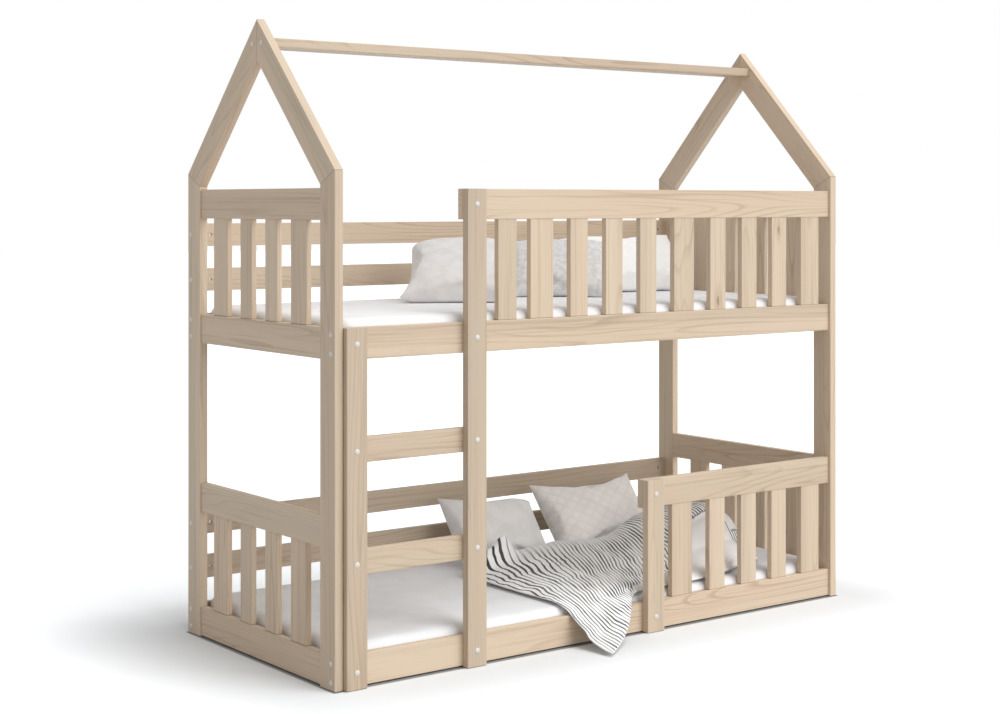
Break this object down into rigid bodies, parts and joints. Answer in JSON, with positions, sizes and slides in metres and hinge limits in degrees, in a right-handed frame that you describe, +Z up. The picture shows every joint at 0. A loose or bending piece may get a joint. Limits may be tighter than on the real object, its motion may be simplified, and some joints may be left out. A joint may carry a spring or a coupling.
{
  "type": "house bunk bed",
  "caption": "Pine house bunk bed with a roof frame, ladder, slatted guards, slatted decks, mattresses, pillows and a striped duvet.",
  "frame": {"origin": "on the floor, under the middle of the whole model's box, the duvet's corner included", "axes": "+X along the bed from the ladder end, +Y towards the back, +Z up; the ladder side faces -Y"},
  "size_m": [1.9912, 1.025, 1.86],
  "materials": {
    "pine": "planed pine, clear matt lacquer",
    "deck_pine": "planed pine, unfinished",
    "dowel_beech": "fluted beech",
    "zinc_steel": "zinc plated",
    "white_cap": "moulded, satin",
    "mattress_cover": "white jersey cover",
    "speckled_cotton": "light grey cotton, faint fleck",
    "textured_cotton": "grey cotton with raised texture",
    "white_cotton": "white cotton, faint mottle",
    "grey_cotton": "plain grey cotton",
    "quilted_cotton": "warm grey cotton, shallow quilting",
    "striped_cotton": "white cotton with thin dark stripes"
  },
  "bodies": {
    "frame": {"back_guard_lower_bottom": "pine", "back_guard_lower_top": "pine", "back_guard_upper_bottom": "pine", "back_guard_upper_top": "pine", "back_ledger_lower": "deck_pine", "back_ledger_upper": "deck_pine", "back_rail_lower": "pine", "back_rail_upper": "pine", "bolt_caps": "white_cap", "cross_nuts": "zinc_steel", "deck_screws": "zinc_steel", "frame_bolts": "zinc_steel", "front_ledger_lower": "deck_pine", "front_ledger_upper": "deck_pine", "front_rail_lower": "pine", "front_rail_upper": "pine", "glue_dowels": "dowel_beech", "insert_nuts": "zinc_steel", "ladder_bolts": "zinc_steel", "ladder_rung_lower": "pine", "ladder_rung_upper": "pine", "ladder_upright_left": "pine", "ladder_upright_right": "pine", "ledger_screws": "zinc_steel", "left_end_rail_deck": "pine", "left_end_rail_floor": "pine", "left_end_rail_lower_guard": "pine", "left_end_rail_upper_guard": "pine", "left_lower_end_slats": "pine", "left_upper_end_slats": "pine", "lower_deck_slats": "deck_pine", "lower_guard_post": "pine", "lower_guard_slats": "pine", "lower_guard_top_rail": "pine", "post_back_left": "pine", "post_back_right": "pine", "post_front_left": "pine", "post_front_right": "pine", "rafter_back_left": "pine", "rafter_back_right": "pine", "rafter_front_left": "pine", "rafter_front_right": "pine", "ridge_board": "pine", "right_end_rail_deck": "pine", "right_end_rail_floor": "pine", "right_end_rail_lower_guard": "pine", "right_end_rail_upper_guard": "pine", "right_lower_end_slats": "pine", "right_upper_end_slats": "pine", "upper_deck_slats": "deck_pine", "upper_guard_slats": "pine", "upper_guard_top_rail": "pine"},
    "upper_bedding": {"upper_mattress": "mattress_cover", "reading_pillow": "speckled_cotton", "middle_pillow": "textured_cotton", "far_pillow": "white_cotton"},
    "lower_bedding": {"lower_mattress": "mattress_cover", "plain_pillow": "grey_cotton", "quilted_pillow": "quilted_cotton", "duvet": "striped_cotton"}
  },
  "joints": [
    {"name": "upper_mattress_lift", "type": "slide", "parent": "frame", "child": "upper_bedding", "axis": [0, 0, 1], "range_m": [0, 0.3]},
    {"name": "lower_mattress_lift", "type": "slide", "parent": "frame", "child": "lower_bedding", "axis": [0, 0, 1], "range_m": [0, 0.3]}
  ]
}
